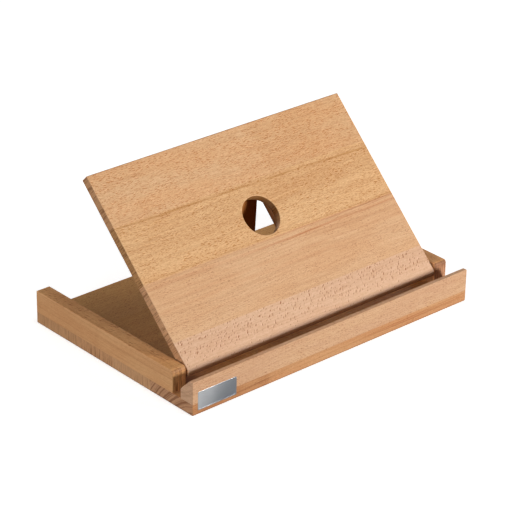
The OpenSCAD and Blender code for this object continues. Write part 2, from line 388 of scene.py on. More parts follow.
def beech(name, base, seed, axes="xyz", gain=(1.0, 1.0, 1.0), pink=(1.0, 1.0, 1.0), flecks=(), ripple=0.10, ripple_size=(6.0, 1.5, 7.0), ripple_turn=0.0,
          bands=(), lines=(), end=None, streak=0.10, rough=0.52, drift=0.5, speck=0.12, ink_fleck=INK_FLECK, bore_shade=None, painted_shade_band=None, top_face_light_tint=None, top_face_light_from=None, spec=0.32,
          patchy=0.45):
    """Oiled beech in solid grain, from one 3-D pattern in mm: rays, growth lines, fine fibre and end grain.
    axes names the object axes that are along the grain, across the shown face, and into it."""
    T = Tree(name)
    base = (*[c * k for c, k in zip(base, gain)], 1.0)
    co = T.node("ShaderNodeTexCoord")
    xyz = dict(zip("xyz", T.split(T.vmath("MULTIPLY", co.outputs["Object"], (1000.0, 1000.0, 1000.0)))))
    g, t, r = (xyz[a] for a in axes)
    raw = T.join(g, t, r)
    nrm = dict(zip("xyz", T.split(co.outputs["Normal"])))
    sd = (seed * 137.1, seed * 53.7, seed * 29.3)

    # the grain wanders a little
    wob = T.noise(T.mapping(raw, loc=sd, scale=(1 / 75, 1 / 40, 1 / 40)), 2.0, 0.45)
    t2 = T.math("ADD", t, T.math("MULTIPLY_ADD", wob, 10.0, -5.0))
    q = T.join(T.math("ADD", g, sd[0]), T.math("ADD", t2, sd[1]), T.math("ADD", r, sd[2]))

    # broad change of tone
    tone = T.noise(T.mapping(q, scale=(1 / 85, 1 / 19, 1 / 40)), 2.0, 0.5)
    pinkish = (base[0] * pink[0], base[1] * pink[1], base[2] * pink[2], 1.0)
    col = T.mix(T.ramp(tone, 0.30, 0.70, 0.0, 1.0), base, pinkish)
    col = T.mix(T.ramp(tone, 0.38, 0.72, 0.0, 0.30 * drift), col, INK_BROWN, "MULTIPLY")

    # fine figure: ripples, long streaks and fibre
    rp = T.noise(T.mapping(T.turn(q, math.radians(-ripple_turn)), scale=(1 / ripple_size[0], 1 / ripple_size[1], 1 / ripple_size[2])), 2.0, 0.55)
    col = T.mix(T.ramp(rp, 0.34, 0.70, 0.0, 3.2 * ripple), col, INK_WARM, "MULTIPLY")
    st = T.noise(T.mapping(q, scale=(1 / 150, 1 / 1.5, 1 / 2.2)), 2.0, 0.6)
    col = T.mix(T.ramp(st, 0.42, 0.72, 0.0, 3.2 * streak), col, INK_BROWN, "MULTIPLY")
    fib = T.noise(T.mapping(q, scale=(1 / 9, 1 / 0.30, 1 / 0.42)), 2.0, 0.6)
    col = T.mix(T.ramp(fib, 0.40, 0.75, 0.0, 0.24), col, INK_WARM, "MULTIPLY")
    pore = T.noise(T.mapping(q, scale=(1 / 2.4, 1 / 0.16, 1 / 0.16)), 1.0, 0.5)
    col = T.mix(T.ramp(pore, 0.62, 0.78, 0.0, 0.12), col, INK_FLECK, "MULTIPLY")

    sp = T.noise(T.mapping(q, scale=(1 / 1.9, 1 / 0.75, 1 / 1.4)), 1.0, 0.5)
    k = speck
    col = T.mix(1.0, col, T.mix(T.ramp(sp, 0.25, 0.75, smooth=False), (1 - 0.5 * k, 1 - 0.78 * k, 1 - 1.1 * k, 1.0),
                                (1 + 0.5 * k, 1 + 0.78 * k, 1 + 1.1 * k, 1.0)), "MULTIPLY")

    # growth lines: a band of thin wavy ones, or single ones; a wide single one darkens a broad strip
    for k, bd in enumerate(bands):
        sway = T.math("MULTIPLY_ADD", T.noise(T.mapping(raw, loc=(k * 31.0 + sd[0], 0, 0), scale=(1 / 62, 1 / 30, 1 / 60)), 2.0, 0.5), bd.get("sway", 5.0), -bd.get("sway", 5.0) / 2)
        tt = T.math("ADD", T.math("MULTIPLY_ADD", g, -bd.get("slope", 0.0), sway), t)
        ln = T.noise(T.join(T.mul(g, 1 / 260), T.math("MULTIPLY_ADD", tt, 1 / bd.get("pitch", 1.0), k * 41.0 + sd[1]), 0.5), 1.0, 0.5)
        ln = T.ramp(ln, bd.get("cut", 0.52), bd.get("cut", 0.52) + 0.16)
        lo, hi, soft = bd["span"]
        zone = T.mul(T.ramp(tt, lo - soft, lo + soft), T.ramp(tt, hi + soft, hi - soft))
        if "along" in bd:
            g0, g1, f0, f1 = bd["along"]
            zone = T.mul(zone, T.ramp(g, g0, g1, f0, f1))
        col = T.mix(T.mul(ln, zone, bd["k"]), col, bd.get("ink", INK_RED), "MULTIPLY")
    for k, (g0, t0, g1, t1, width, strength, ink) in enumerate(lines):
        slope = (t1 - t0) / (g1 - g0)
        sway = T.math("MULTIPLY_ADD", T.noise(T.mapping(raw, loc=(k * 13.0, sd[0], 0), scale=(1 / 38, 0.0, 0.0)), 3.0, 0.5), 2.4, -1.2 - (t0 - slope * g0))
        off = T.math("ABSOLUTE", T.add(T.mul(g, -slope), sway, t))
        vary = T.ramp(T.noise(T.mapping(raw, loc=(0, k * 7.0, sd[1]), scale=(1 / 24, 0.0, 0.0)), 2.0, 0.5), 0.30, 0.60, 0.45, 1.0)
        reach = T.mul(T.ramp(g, g0 - 6, g0 + 6), T.ramp(g, g1 + 6, g1 - 6))
        col = T.mix(T.mul(T.ramp(off, width, width * 0.2), vary, reach, strength), col, ink, "MULTIPLY")

    # rays
    fl = pale = None
    for k, f in enumerate(flecks):
        f = dict(f)
        z = f.pop("zone", None)
        zone = None
        if z is not None:
            lo, hi, soft = z
            zone = T.mul(T.ramp(t, lo - soft, lo + soft), T.ramp(t, hi + soft, hi - soft))
        n, p = fleck_layer(T, q, k + 1 + seed, **f)
        face = nrm[axes[2]] if f.get("plane", "gt") == "gt" else nrm[axes[1]]
        seen = T.ramp(T.math("ABSOLUTE", face), 0.25, 0.75, 0.38, 1.0)
        n, p = T.mul(n, seen), T.mul(p, seen)
        if zone is not None:
            n, p = T.mul(n, zone), T.mul(p, zone)
        fl = n if fl is None else T.math("MAXIMUM", fl, n)
        pale = p if pale is None else T.math("MAXIMUM", pale, p)
    patch = T.ramp(T.noise(T.mapping(q, scale=(1 / 26, 1 / 9, 1 / 12)), 2.0, 0.5), 0.28, 0.55, patchy, 1.0)
    fl = T.mul(fl, patch)
    col = T.mix(T.mul(pale, patch), col, (1.10, 1.15, 1.20, 1.0), "MULTIPLY")
    col = T.mix(fl, col, ink_fleck, "MULTIPLY")

    # end grain drinks more oil: darker, with rings and ray ticks instead of lines
    e = dict(tint=(0.80, 0.74, 0.68), tick_axis="t", tick=1.1, tick_k=0.5, ring=None, onset=(0.60, 0.93))
    e.update(end or {})
    endf = T.ramp(T.math("ABSOLUTE", nrm[axes[0]]), *e["onset"])
    ecol = T.mix(1.0, T.mix(0.6, col, base), (*e["tint"], 1.0), "MULTIPLY")
    if e["tick_axis"] == "t":
        tick_v = T.mapping(raw, loc=sd, scale=(1 / 60, 1 / e["tick"], 1 / 16))
    else:
        tick_v = T.mapping(raw, loc=sd, scale=(1 / 60, 1 / 16, 1 / e["tick"]))
    ticks = T.noise(tick_v, 2.5, 0.6, 0.25)
    ecol = T.mix(T.ramp(ticks, 0.47, 0.66, 0.0, e["tick_k"]), ecol, INK_DARK, "MULTIPLY")
    ecol = T.mix(T.ramp(ticks, 0.46, 0.30, 0.0, e["tick_k"] * 0.6), ecol, (1.25, 1.22, 1.18, 1.0), "MULTIPLY")
    if e["ring"] is not None:
        ct, cr, pitch, k = e["ring"]
        dt, dr = T.math("SUBTRACT", t, ct), T.math("SUBTRACT", r, cr)
        rad = T.math("SQRT", T.add(T.mul(dt, dt), T.mul(dr, dr)))
        rad = T.math("ADD", rad, T.mul(T.noise(T.mapping(raw, scale=(1 / 60, 1 / 9, 1 / 9)), 2.0), 1.6))
        rg = T.noise(T.join(T.mul(rad, 1 / pitch), sd[2], 0.0), 1.0, 0.5)
        ecol = T.mix(T.ramp(rg, 0.44, 0.64, 0.0, k), ecol, INK_DARK, "MULTIPLY")
    # painted shadow: the end grain is darkened over the given heights, where a shadow falls
    for lo, hi, k in e.get("lip_shadow", ()):
        ecol = T.mix(T.ramp(xyz["z"], lo, hi, 0.0, k), ecol, INK_DARK, "MULTIPLY")
    spot = T.noise(T.mapping(raw, loc=sd, scale=(1 / 3.0, 1 / 0.30, 1 / 0.30)), 1.0, 0.5)
    ecol = T.mix(T.ramp(spot, 0.52, 0.74, 0.0, 0.35), ecol, INK_DARK, "MULTIPLY")
    col = T.mix(endf, col, ecol)

    # painted shade: the bored wall is darkened as if in shadow
    if bore_shade is not None:
        away = T.vmath("LENGTH", T.vmath("MULTIPLY", T.vmath("SUBTRACT", raw, (0.0, bore_shade[0], 0.0)), (1.0, 1.0, 0.0)))
        col = T.mix(T.ramp(away, bore_shade[1] + 0.12, bore_shade[1] + 0.02), col, (*bore_shade[2], 1.0), "MULTIPLY")
    # painted shade: darker towards one end of the given axis, standing in for a contact shadow or a cast shadow along
    # an edge
    if painted_shade_band is not None:
        axis, lo, hi, k = painted_shade_band
        col = T.mix(T.ramp(xyz[axis], hi, lo, 0.0, k), col, INK_DARK, "MULTIPLY")
    # painted light and shade on up-facing faces: a tint for top faces only, lighter or darker than the rest of the
    # piece because of how light falls there; it can fade in along the grain
    if top_face_light_tint is not None:
        up = T.ramp(nrm["z"], 0.8, 0.95)
        if top_face_light_from is not None:
            up = T.mul(up, T.ramp(g, top_face_light_from[0], top_face_light_from[1], 0.1, 1.0))
        col = T.mix(up, col, (*top_face_light_tint, 1.0), "MULTIPLY")

    # painted highlight: the rounded edges are made a little paler
    arris_attr = T.node("ShaderNodeAttribute", attribute_name="arris")
    edge_highlight = T.mul(arris_attr.outputs["Fac"], T.ramp(T.noise(T.mapping(raw, scale=(1 / 7, 1 / 7, 1 / 7)), 2.0, 0.6), 0.3, 0.7, 0.04, 0.16))
    col = T.mix(edge_highlight, col, (*[min(1.0, c * 1.25) for c in base[:3]], 1.0))

    T.put(T.bsdf.inputs["Base Color"], col)
    rg = T.add(T.math("MULTIPLY_ADD", st, 0.14, rough - 0.07), T.mul(fl, 0.08), T.mul(endf, 0.12))
    T.put(T.bsdf.inputs["Roughness"], rg)
    T.bsdf.inputs["Specular IOR Level"].default_value = spec
    h = T.add(T.mul(fib, 0.35), T.mul(fl, -0.6), T.mul(pore, -0.25), T.mul(T.mul(spot, endf), 0.35))
    b = T.node("ShaderNodeBump")
    b.inputs["Strength"].default_value = 0.4
    b.inputs["Distance"].default_value = 0.00012
    T.put(b.inputs["Height"], h)
    T.put(T.bsdf.inputs["Normal"], b.outputs[0])
    return T.m


def steel(name, tint=(0.62, 0.62, 0.63, 1), rough=0.28):
    T = Tree(name)
    co = T.node("ShaderNodeTexCoord")
    p = T.mapping(co.outputs["Object"], scale=(60, 1900, 1900))
    n = T.noise(p, 3.0, 0.6)
    T.put(T.bsdf.inputs["Base Color"], T.mix(n, tint, tuple(c * 0.72 for c in tint[:3]) + (1,)))
    T.bsdf.inputs["Metallic"].default_value = 1.0
    T.put(T.bsdf.inputs["Roughness"], T.math("MULTIPLY_ADD", n, 0.2, rough - 0.1))
    b = T.node("ShaderNodeBump")
    b.inputs["Strength"].default_value = 0.15
    b.inputs["Distance"].default_value = 0.00005
    T.put(b.inputs["Height"], n)
    T.put(T.bsdf.inputs["Normal"], b.outputs[0])
    return T.m


def label_metal(name, lo, hi):
    """Silver foil plate with a painted reflection: brighter at its top left, darker to the right and down, with a fine
    brushed grain.
    """
    T = Tree(name)
    co = T.node("ShaderNodeTexCoord")
    sep = T.node("ShaderNodeSeparateXYZ")
    T.put(sep.inputs[0], co.outputs["Object"])
    u = T.ramp(sep.outputs[0], lo[0], hi[0], smooth=False)
    v = T.ramp(sep.outputs[2], lo[2], hi[2], smooth=False)
    brush = T.noise(T.mapping(co.outputs["Object"], scale=(120, 120, 5200)), 3.0, 0.65)
    cloud = T.noise(T.mapping(co.outputs["Object"], scale=(70, 70, 70)), 2.0, 0.5)
    # painted reflection: light at the top left, falling off to the right and down
    s = T.math("ADD", T.math("MULTIPLY", u, 0.95), T.math("MULTIPLY", T.math("SUBTRACT", 1.0, v), 0.35))
    s = T.math("ADD", s, T.math("MULTIPLY_ADD", cloud, 0.30, -0.15))
    shade = T.ramp(s, 0.05, 1.05)
    col = T.mix(shade, srgb(228, 230, 232), srgb(146, 150, 156))
    col = T.mix(T.ramp(brush, 0.35, 0.7, 0.0, 0.25), col, srgb(178, 180, 184))
    T.put(T.bsdf.inputs["Base Color"], col)
    T.bsdf.inputs["Metallic"].default_value = 0.75
    T.put(T.bsdf.inputs["Roughness"], T.math("MULTIPLY_ADD", brush, 0.16, 0.30))
    b = T.node("ShaderNodeBump")
    b.inputs["Strength"].default_value = 0.12
    b.inputs["Distance"].default_value = 0.00004
    T.put(b.inputs["Height"], brush)
    T.put(T.bsdf.inputs["Normal"], b.outputs[0])
    return T.m


# ---------------------------------------------------------------- pieces
def mark_arris(obj):
    """arris is 1 on the rounded edges and 0 on the flats, so that the material can paint a highlight there."""
    me = obj.data
    at = me.attributes.new("arris", "FLOAT", "CORNER")
    vals = []
    for f in me.polygons:
        n = f.normal
        flat = max(abs(n.x), abs(n.y), abs(n.z)) > 0.995 or f.area > 2.0e-4
        vals += [0.0 if flat else 1.0] * f.loop_total
    at.data.foreach_set("value", vals)


def piece(obj, node, body, mat, matrix=None):
    finish_mesh(obj)
    mark_arris(obj)
    if matrix is not None:
        obj.matrix_world = matrix
    obj.data.materials.clear()
    obj.data.materials.append(mat)
    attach(obj, body)
    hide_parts(node)
    return obj


def dowel_cut(x, y):
    return spin("cutter", [(3.02, -6.8), (3.02, 10.3)], (x, y, BASE_T), "z")


def rail_x(side):
    return side * (HALF - RAIL_W / 2)


# base staves
def flecks(k, density=1.0, length=1.0, angle=0.0, jitter=14.0, zone=None):
    """The usual short rays: many small ones and some bold ones. zone is (from, to, softness) across the grain."""
    z = {} if zone is None else dict(zone=zone)
    return [
        dict(cell=(3.4, 1.6, 3.0), size=(1.05 * length, 0.32, 2.4), angle=angle, jitter=jitter, share=0.62 * density, strength=0.80 * k, **z),
        dict(cell=(2.4, 1.15, 2.4), size=(0.62 * length, 0.26, 1.9), angle=angle, jitter=jitter, share=0.62 * density, strength=0.58 * k, **z),
    ]


BASE_WOOD = [
    # painted shade and light on the base: each board's bottom edge is darkened as a painted contact shadow; board 1's
    # top face is lightened in the groove, and the top faces of boards 2 to 4 are tinted for the shade behind the panel
    dict(base=srgb(222, 168, 116), gain=G["base1"], seed=1.0, axes="xzy", pink=(1.0, 0.92, 0.88), flecks=flecks(0.9, 0.9), ripple=0.06, streak=0.16, speck=0.16, painted_shade_band=("z", 0.6, 2.0, 0.45), top_face_light_tint=(1.30, 1.36, 1.12), top_face_light_from=(-135, -50),
         bands=[dict(span=(0.5, 9.8, 1.5), pitch=1.0, cut=0.50, k=0.60, sway=2.0, slope=0.004, along=(0, 55, 0.18, 1.0), ink=INK_RED),
                dict(span=(3.0, 9.0, 2.0), pitch=1.6, cut=0.54, k=0.45, sway=1.5, ink=INK_BROWN)],
         # the first line is a wide strip that darkens the front of board 1 towards its left end
         lines=[(-160, 4.5, -72, 5.0, 12.0, 0.85, INK_BROWN), (-112, 4.0, -52, 6.4, 0.9, 0.55, INK_BROWN), (-100, 5.4, -70, 5.8, 0.5, 0.6, INK_DARK)],
         end=dict(tint=E["base1"], tick_axis="t", tick=2.0, tick_k=0.12, ring=(-34, -112, 1.3, 0.85))),
    dict(base=srgb(216, 164, 116), gain=G["base2"], seed=2.3, top_face_light_tint=(0.90, 0.885, 0.694), flecks=flecks(1.3, 1.2), speck=0.2, painted_shade_band=("z", 0.5, 1.6, 0.3), end=dict(tint=E["base2"], tick=0.75, tick_k=0.55)),
    dict(base=srgb(218, 166, 118), gain=G["base3"], seed=3.7, top_face_light_tint=(0.976, 0.963, 0.758), flecks=flecks(1.3, 1.2), speck=0.2, painted_shade_band=("z", 0.5, 1.6, 0.3), end=dict(tint=E["base3"], tick=1.05, tick_k=0.72)),
    dict(base=srgb(214, 164, 118), gain=G["base4"], seed=4.9, top_face_light_tint=(1.0, 0.988, 0.829), flecks=flecks(1.3, 1.2), speck=0.2, painted_shade_band=("z", 0.5, 1.6, 0.3), end=dict(tint=E["base4"], tick=1.6, tick_k=0.40)),
]
for i in range(4):
    y0, y1 = FRONT + BASE_CUT[i], FRONT + BASE_CUT[i + 1]
    front_free, back_free = i == 0, i == 3
    o = loft(
        f"base_board_{i + 1}", [(y0, 0), (y1, 0), (y1, BASE_T), (y0, BASE_T)],
        [0.8, 1.0 if back_free else 0.0, 0.0, 1.0 if front_free else 0.0],
        [0.8 if back_free else 0, 0.25 if back_free else 0, 0, 0.8 if front_free else 0],
        -HALF, HALF, EDGE, EDGE, along_x)
    cuts = [dowel_cut(rail_x(s), FRONT + RAIL_DOWEL_Y[i]) for s in (-1, 1)]
    if i == 0:
        cuts += [dowel_cut(x, FRONT + LIP_D / 2) for x in LIP_DOWEL_X]
    cut(o, cuts)
    piece(o, f"base_stave_{i + 1}", "base", beech(f"beech_base_{i + 1}", **BASE_WOOD[i]))

# front lip: upright back, long bevel, level top flush with the rails
LT = BASE_T + LIP_H
o = loft(
    "lip_strip",
    [(FRONT, BASE_T), (FRONT + LIP_D, BASE_T), (FRONT + LIP_D, BASE_T + LIP_BACK), (FRONT + LIP_TOP, LT), (FRONT, LT)],
    [0.0, 1.0, 1.0, 1.0, 1.0], [0, 2.4, 0.5, 0.5, 0], -HALF, HALF, EDGE, EDGE, along_x)
cut(o, [dowel_cut(x, FRONT + LIP_D / 2) for x in LIP_DOWEL_X])
piece(o, "front_lip", "base", beech(
    "beech_lip", base=srgb(232, 184, 140), gain=G["lip"], seed=6.1, axes="xzy", pink=(0.98, 0.96, 1.0), ripple=0.07, streak=0.08,
    flecks=flecks(0.95, 1.1, 1.3, angle=-10, jitter=10),
    bands=[dict(span=(20, 30, 4), pitch=1.4, cut=0.52, k=0.30, sway=3.0, slope=-0.006)],
    end=dict(tint=E["lip"], tick=1.6, tick_k=0.22, ring=(60, -70, 1.6, 0.25))))

# side rails: soft front end, grain from front to back
for side, node, seed in ((-1, "left_rail", 7.3), (1, "right_rail", 8.9)):
    x0, x1 = rail_x(side) - RAIL_W / 2, rail_x(side) + RAIL_W / 2
    y0, z0, z1 = FRONT + RAIL_SET, BASE_T, BASE_T + RAIL_H
    o = loft(
        node + "_bar", [(y0, z0), (BACK, z0), (BACK, z1), (y0, z1)], [0.0, 1.0, 1.0, 1.0],
        [0, 0.8, RAIL_ROUND, 0], x0, x1, EDGE, EDGE, along_x, seg=8)
    cuts = [dowel_cut(rail_x(side), FRONT + y) for y in RAIL_DOWEL_Y]
    a, b = sorted((-side * 1.0, side * 8.0))
    cuts.append(spin("cutter", [(2.05, a), (2.05, b)], (side * (HALF - RAIL_W), PIVOT_Y, PIVOT_Z), "x"))
    cut(o, cuts)
    # painted light and shade on the rails: the top faces are lightened, and the front end grain is darkened below the
    # top as a painted shadow of the lip; the wide line darkens the back part of each rail
    piece(o, node, "base", beech(
        "beech_" + node, base=srgb(216, 166, 120), gain=G[node], seed=seed, axes="yzx", pink=(1.0, 0.95, 0.92), ripple=0.05, streak=0.12,
        flecks=[dict(cell=(8.0, 3.0, 2.4), size=(2.6, 0.46, 2.0), plane="gr", angle=16 * side, jitter=10, share=0.8, strength=1.0, zone=(28.3, 32, 0.5)),
                dict(cell=(4.4, 2.4, 1.6), size=(1.3, 0.34, 1.6), plane="gr", angle=12 * side, jitter=12, share=0.7, strength=0.75, zone=(28.3, 32, 0.5)),
                dict(cell=(3.4, 1.6, 2.4), size=(0.9, 0.26, 1.9), angle=3, jitter=8, share=0.5, strength=0.22, zone=(0, 28.3, 0.5))],
        bands=[dict(span=(10, 29.5, 3), pitch=1.8, cut=0.52, k=0.32, sway=4.0, slope=-0.02, ink=INK_BROWN)],
        lines=[(15, 20, 120, 20, 60, 0.24, INK_BROWN)], top_face_light_tint=(1.08, 1.05, 0.92),
        end=dict(tint=E[node], tick_axis="r", tick=0.95, tick_k=0.95, lip_shadow=[(21.5, 26.0, 0.42), (25.6, 27.0, 0.55)], onset=(0.28, 0.60))))

# panel staves, in the panel's own frame: x across, y up the slope, z out of the face
PANEL_WOOD = [
    dict(base=srgb(228, 178, 132), gain=G["panel1"], seed=11.2, pink=(1.02, 0.96, 0.90), ripple=0.07, ripple_size=(8, 2.2, 8), ripple_turn=-6, speck=0.19, drift=0.2, ink_fleck=(0.72, 0.46, 0.25, 1.0),
         # painted shade along the top edge
         painted_shade_band=("y", 168.6, 167.3, 0.9),
         flecks=flecks(1.35, 1.3, 1.6) + [dict(cell=(5.0, 2.6, 3.4), size=(1.35, 0.42, 2.6), angle=48, jitter=18, share=0.6, strength=0.7, zone=(121, 134, 3))],
         lines=[(-135, 128.0, 135, 126.0, 0.5, 0.18, INK_BROWN), (30, 144, 170, 144, 60, 0.20, INK_GOLD)]),
    dict(base=srgb(228, 180, 128), gain=G["panel2"], seed=12.6, pink=(1.0, 0.97, 0.94), ripple=0.07, ripple_size=(14, 2.2, 8), speck=0.20, drift=0.3,
         # painted shade on the bored wall of the hand opening
         bore_shade=(HOLE_UP, HOLE_R, (0.48, 0.36, 0.19)),
         ink_fleck=(0.66, 0.43, 0.19, 1.0),
         flecks=flecks(1.25, 1.35, 1.35) + [dict(cell=(5.6, 2.7, 3.8), size=(1.75, 0.42, 3.2), jitter=9, share=0.60, strength=1.0)],
         bands=[dict(span=(90, 118, 10), pitch=5.0, cut=0.48, k=0.28, sway=6.0, ink=INK_BROWN)],
         lines=[(-134, 120.0, 135, 115.6, 1.3, 0.85, INK_GOLD), (-135, 72.0, 135, 71.0, 0.8, 0.60, INK_GOLD)]),
    dict(base=srgb(230, 180, 138), gain=G["panel3"], seed=13.1, pink=(1.0, 0.96, 0.92), ripple=0.06, ripple_size=(16, 2.4, 8), speck=0.14,
         flecks=flecks(0.85, 1.0) + flecks(0.85, 1.0, 1.0, zone=(19, 42, 5)),
         bands=[dict(span=(58.5, 70.5, 1.6), pitch=1.7, cut=0.48, k=0.66, sway=1.6, slope=0.004, along=(-60, 60, 0.35, 1.0), ink=INK_RED),
                dict(span=(28, 58, 6), pitch=3.2, cut=0.54, k=0.16, sway=3.0, slope=0.006, ink=INK_RED)],
         lines=[(10, 63.6, 120, 68.4, 0.7, 0.60, INK_RED), (50, 61.5, 135, 66.0, 0.5, 0.45, INK_RED), (60, 68.6, 135, 69.8, 0.6, 0.6, INK_BROWN), (-110, 66.0, 30, 64.8, 0.5, 0.4, INK_RED)]),
    dict(base=srgb(234, 190, 156), gain=G["panel4"], seed=14.8, pink=(1.0, 0.98, 0.98), ripple=0.04, ripple_size=(12, 3.0, 8), speck=0.12,
         ink_fleck=(0.52, 0.32, 0.19, 1.0),
         # painted shadow of the lip across the rounded bottom edge
         patchy=0.75, painted_shade_band=("y", -7.3, -6.0, 0.85),
         flecks=[dict(cell=(4.3, 3.5, 7.0), size=(1.45, 0.52, 7.0), angle=56, jitter=20, share=0.90, strength=1.0, zone=(1.5, 22, 2.5)),
                 dict(cell=(3.8, 2.8, 5.0), size=(0.80, 0.36, 4.4), angle=50, jitter=28, share=0.55, strength=0.85)]),
]
T2 = PANEL_T / 2


def screw_cut(x, u):
    z = -T2 - CLEAT_T
    return spin("cutter", [(3.52, z - 1.0), (3.52, z), (1.77, z + 1.77), (1.77, z + 14.8)], (x, u, 0), "z")


SCREW_XU = [(s * (CLEAT_IN + CLEAT_W / 2), u) for s in (-1, 1) for u in SCREW_U]
for i in range(4):
    hi, lo = PANEL_CUT[i], PANEL_CUT[i + 1]
    top_free, low_free = i == 0, i == 3
    o = loft(
        f"panel_board_{i + 1}", [(lo, -T2), (hi, -T2), (hi, T2), (lo, T2)],
        [0.45, 1.0 if top_free else 0.0, 1.0, 1.0 if low_free else 0.0],
        [0.5 if top_free else 0, 0.8 if top_free else 0, T2 - 0.02 if low_free else 0, T2 - 0.02 if low_free else 0],
        -PANEL_W / 2, PANEL_W / 2, EDGE, EDGE, along_x, seg=12 if low_free else 6)
    cuts = []
    if i == 1:
        r, c = HOLE_R, 0.7
        prof = [(r + c + 0.6, -T2 - 0.6), (r + c, -T2 - 0.001)]
        prof += [(r + c * (1 - math.sin(a)), -T2 + c * (1 - math.cos(a))) for a in [math.pi / 8 * k for k in (1, 2, 3, 4)]]
        prof += [(q, -z) for q, z in reversed(prof)]
        cuts.append(spin("cutter", prof, (0, HOLE_UP, 0), "z", seg=96))
    if i in (1, 2):
        cuts += [screw_cut(x, u) for x, u in SCREW_XU if lo < u < hi]
    if i == 3:
        for s in (-1, 1):
            a, b = sorted((s * (PANEL_W / 2 + 1), s * (PANEL_W / 2 - 20)))
            cuts.append(spin("cutter", [(2.02, a), (2.02, b)], (0, 0, 0), "x"))
    if cuts:
        cut(o, cuts)
    end = dict(tint=E[f"panel{i + 1}"], tick=0.95, tick_k=0.85, ring=((hi + lo) / 2, -60 - 9 * i, 1.3, 0.15))
    piece(o, f"panel_stave_{i + 1}", "panel", beech(f"beech_panel_{i + 1}", end=end, **PANEL_WOOD[i]), PANEL_M)

# cleats on the back of the panel
for side, node, seed in ((-1, "left_cleat", 16.4), (1, "right_cleat", 17.7)):
    xa, xb = sorted((side * CLEAT_IN, side * (CLEAT_IN + CLEAT_W)))
    za, zb = -T2 - CLEAT_T, -T2
    o = loft(
        node + "_batten", [(xa, za), (xb, za), (xb, zb), (xa, zb)], [1.0, 1.0, 0.0, 1.0], [1.4, 0, 0, 1.4],
        CLEAT_LO, CLEAT_HI, 2.0, 2.0, along_y)
    a, b = sorted((side * (CLEAT_IN - 1), side * (CLEAT_IN + 10)))
    cuts = [spin("cutter", [(2.02, a), (2.02, b)], (0, PROP_UP, PIN_V), "x")]
    cuts += [screw_cut(x, u) for x, u in SCREW_XU if x * side > 0]
    cut(o, cuts)
    piece(o, node, "panel", beech(
        "beech_" + node, base=srgb(208, 158, 112), seed=seed, axes="yxz", flecks=flecks(0.8), end=dict(tint=(0.75, 0.68, 0.6))), PANEL_M)

# prop board, in its own frame: z runs up to the pin
R = PROP_T / 2


def foot_z(y):
    return (BASE_T + FOOT_GAP - PIN_Z - y * math.sin(LEAN)) / math.cos(LEAN)


o = loft(
    "prop_plank", [(-R, foot_z(-R)), (R, foot_z(R)), (R, R), (-R, R)], [1.0, 1.0, 1.0, 1.0],
    [1.2, R - 0.02, R - 0.02, 1.2], -PROP_W / 2, PROP_W / 2, 1.1, 1.1, along_x, seg=10)
cut(o, [spin("cutter", [(2.05, -PROP_W / 2 - 1), (2.05, PROP_W / 2 + 1)], (0, 0, 0), "x")])
piece(o, "prop_board", "prop", beech(
    "beech_prop", base=srgb(192, 138, 92), gain=G["prop"], seed=19.5, axes="zxy", flecks=flecks(0.9), streak=0.28, rough=0.66, spec=0.10,
    end=dict(tint=(0.7, 0.62, 0.55))), PROP_M)


# cleat screws: countersunk heads with a cross recess, and a real helical thread
def screw_mesh(bm, cx, cy, cz):
    """One screw with its head at cz, pointing up +z."""
    seg, pitch, root = 36, 1.45, 1.22
    r = SCREW_D / 2
    start, tip = r + 1.6, 3.0
    hs = [0.0, 0.10, 0.5, 1.1, r, r + 0.8, start]
    k = int((SCREW_L - 0.35 - start) / (pitch / 10))
    hs += [start + (SCREW_L - 0.35 - start) * (j + 1) / k for j in range(k)]
    rings = []
    for h in hs:
        ring = []
        for i in range(seg):
            a = 2 * math.pi * i / seg
            if h <= 0.10:
                rad = 2 * r - 0.18 + 1.2 * h
            elif h <= r:
                rad = 2 * r - h
            elif h <= start:
                rad = r - (r - root) * max(0.0, (h - r - 0.8) / (start - r - 0.8)) if h > r + 0.8 else r
            else:
                ph = ((h - start) / pitch - i / seg) % 1.0
                crest = max(0.0, 1.0 - abs(ph - 0.5) / 0.26)
                grow = min(1.0, (h - start) / 1.2)
                taper = min(1.0, max(0.12, (SCREW_L - h) / tip))
                rad = root * taper + (r - 0.01 - root) * crest * grow * taper
            ring.append(bm.verts.new((Vector((cx + rad * math.cos(a), cy + rad * math.sin(a), cz + h))) * MM))
        rings.append(ring)
    for r0, r1 in zip(rings, rings[1:]):
        for i in range(seg):
            bm.faces.new((r0[i], r0[(i + 1) % seg], r1[(i + 1) % seg], r1[i]))
    bm.faces.new(rings[0])
    bm.faces.new(rings[-1])


def cross_cutter(cx, cy, cz):
    """Two tapering blades that meet in the middle."""
    out = []
    for turn in (0.0, math.pi / 2):
        bm = bmesh.new()
        ring = []
        for h, w, t in ((-0.3, 2.05, 0.44), (1.35, 0.85, 0.26)):
            quad = []
            for sx, sy in ((-1, -1), (1, -1), (1, 1), (-1, 1)):
                x, y = sx * w, sy * t
                quad.append(bm.verts.new(Vector((
                    cx + x * math.cos(turn) - y * math.sin(turn), cy + x * math.sin(turn) + y * math.cos(turn), cz + h)) * MM))
            ring.append(quad)
        for i in range(4):
            bm.faces.new((ring[0][i], ring[0][(i + 1) % 4], ring[1][(i + 1) % 4], ring[1][i]))
        bm.faces.new(ring[0])
        bm.faces.new(ring[1])
        bmesh.ops.recalc_face_normals(bm, faces=bm.faces)
        me = bpy.data.meshes.new("cutter")
        bm.to_mesh(me)
        bm.free()
        c = bpy.data.objects.new("cutter", me)
        bpy.context.scene.collection.objects.link(c)
        out.append(c)
    return out


